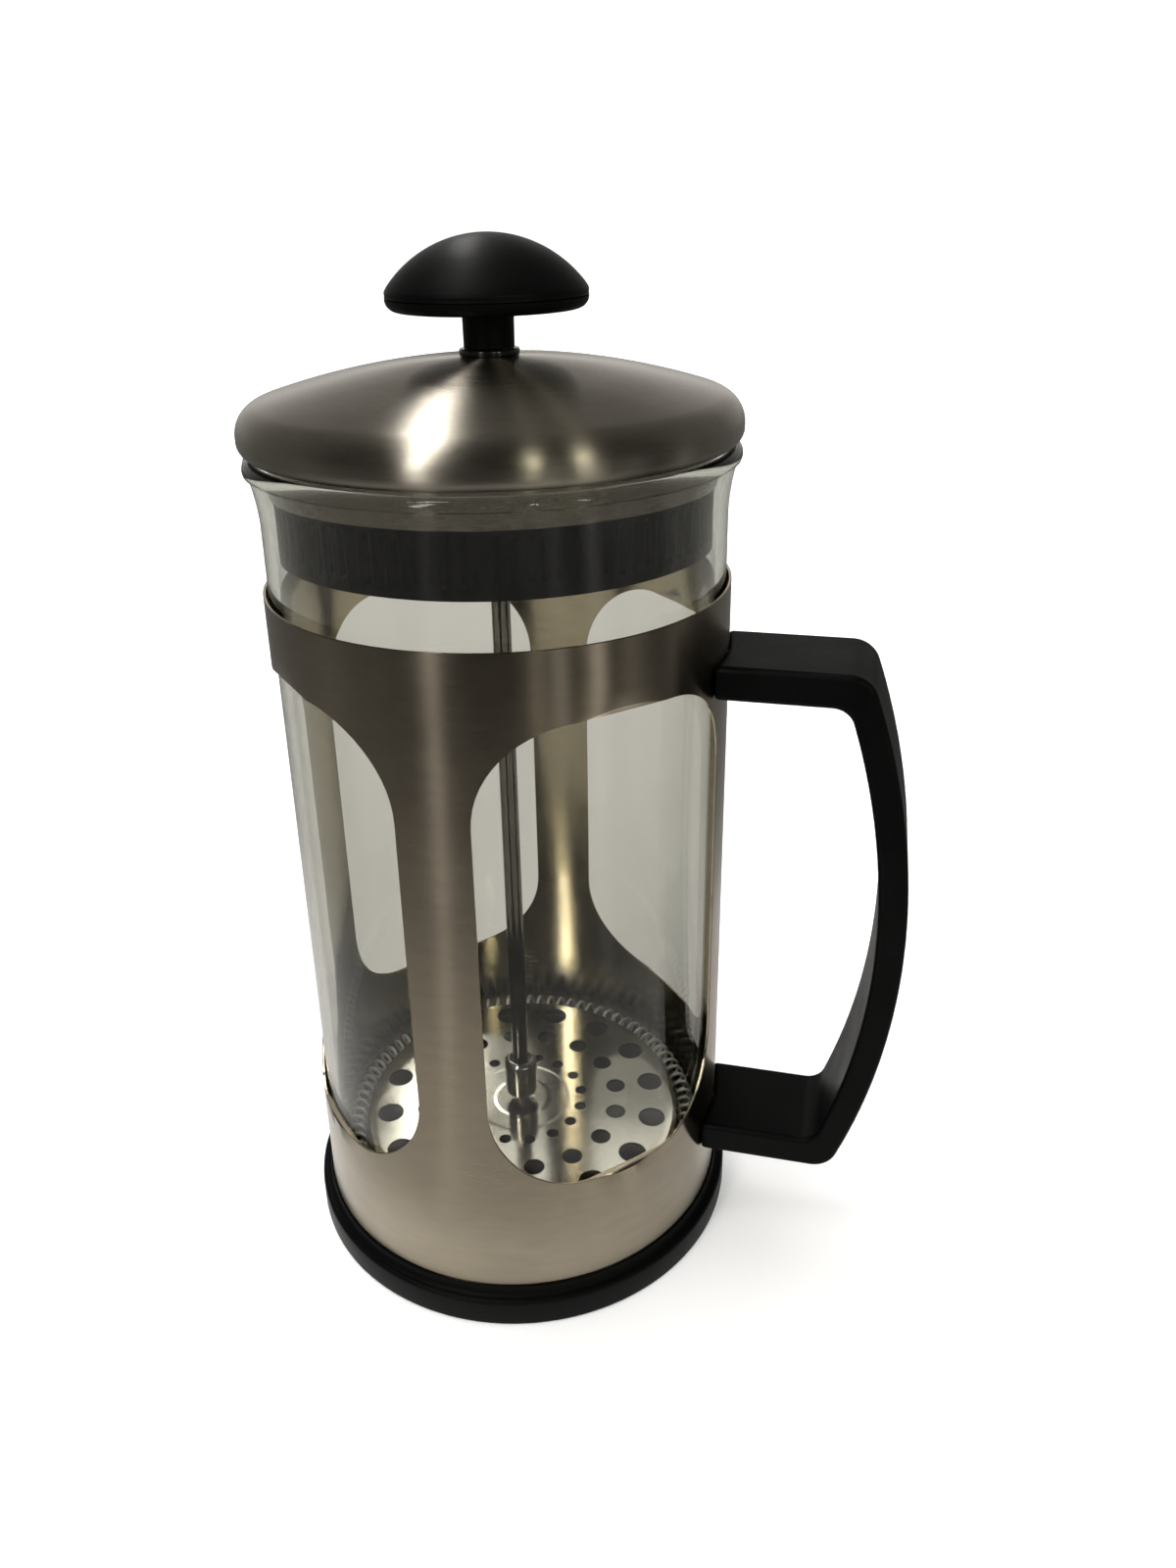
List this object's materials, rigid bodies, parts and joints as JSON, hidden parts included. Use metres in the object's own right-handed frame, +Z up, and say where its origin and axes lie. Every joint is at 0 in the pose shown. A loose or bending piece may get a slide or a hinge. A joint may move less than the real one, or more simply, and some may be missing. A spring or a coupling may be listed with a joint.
{
  "type": "french press",
  "caption": "Glass coffee press: beaker in a windowed sheet steel holder with a bowed handle, domed lid, plunger rod, screw-on filter with rim spring, and domed knob.",
  "frame": {"origin": "on the beaker's axis at the underside of the base ring", "axes": "+Z up along the plunger, +X towards the handle, the pouring lip on -X"},
  "size_m": [0.1424, 0.1014, 0.223],
  "materials": {
    "black_plastic": "satin",
    "gloss_black": "gloss",
    "sleeve_steel": "brushed round the sleeve",
    "lid_steel": "brushed round the dome",
    "screw_steel": "satin",
    "insert_brass": "turned",
    "beaker_glass": "clear, faint green at the rim",
    "rod_steel": "polished",
    "plate_steel": "bright",
    "spring_steel": "bright wire",
    "mesh_steel": "woven"
  },
  "bodies": {
    "holder": {"base_ring": "black_plastic", "frame_sleeve": "sleeve_steel", "handle": "black_plastic", "upper_screw": "screw_steel", "lower_screw": "screw_steel", "upper_insert": "insert_brass", "lower_insert": "insert_brass"},
    "beaker": {"glass_beaker": "beaker_glass"},
    "lid": {"lid_shell": "lid_steel", "lid_skirt": "lid_steel", "lid_core": "black_plastic", "strainer_ring": "black_plastic", "guide_bush": "gloss_black", "bush_nut": "screw_steel"},
    "plunger": {"plunger_rod": "rod_steel", "hub_nut": "rod_steel"},
    "knob": {"knob_base": "black_plastic", "knob_cap": "black_plastic", "knob_insert": "insert_brass"},
    "filter": {"top_plate": "plate_steel", "rim_spring": "spring_steel", "mesh_disc": "mesh_steel", "cross_plate": "plate_steel", "filter_nut": "insert_brass"}
  },
  "joints": [
    {"name": "beaker_lift", "type": "slide", "parent": "holder", "child": "beaker", "axis": [0, 0, 1], "range_m": [0, 0.16]},
    {"name": "lid_lift", "type": "slide", "parent": "beaker", "child": "lid", "axis": [0, 0, 1], "range_m": [0, 0.185]},
    {"name": "plunger_slide", "type": "slide", "parent": "lid", "child": "plunger", "axis": [0, 0, 1], "range_m": [0, 0.1405]},
    {"name": "knob_turn", "type": "hinge", "parent": "plunger", "child": "knob", "pos_m": [0, 0, 0.205], "axis": [0, 0, 1], "continuous": true},
    {"name": "filter_turn", "type": "hinge", "parent": "plunger", "child": "filter", "pos_m": [0, 0, 0.015], "axis": [0, 0, 1], "continuous": true}
  ]
}
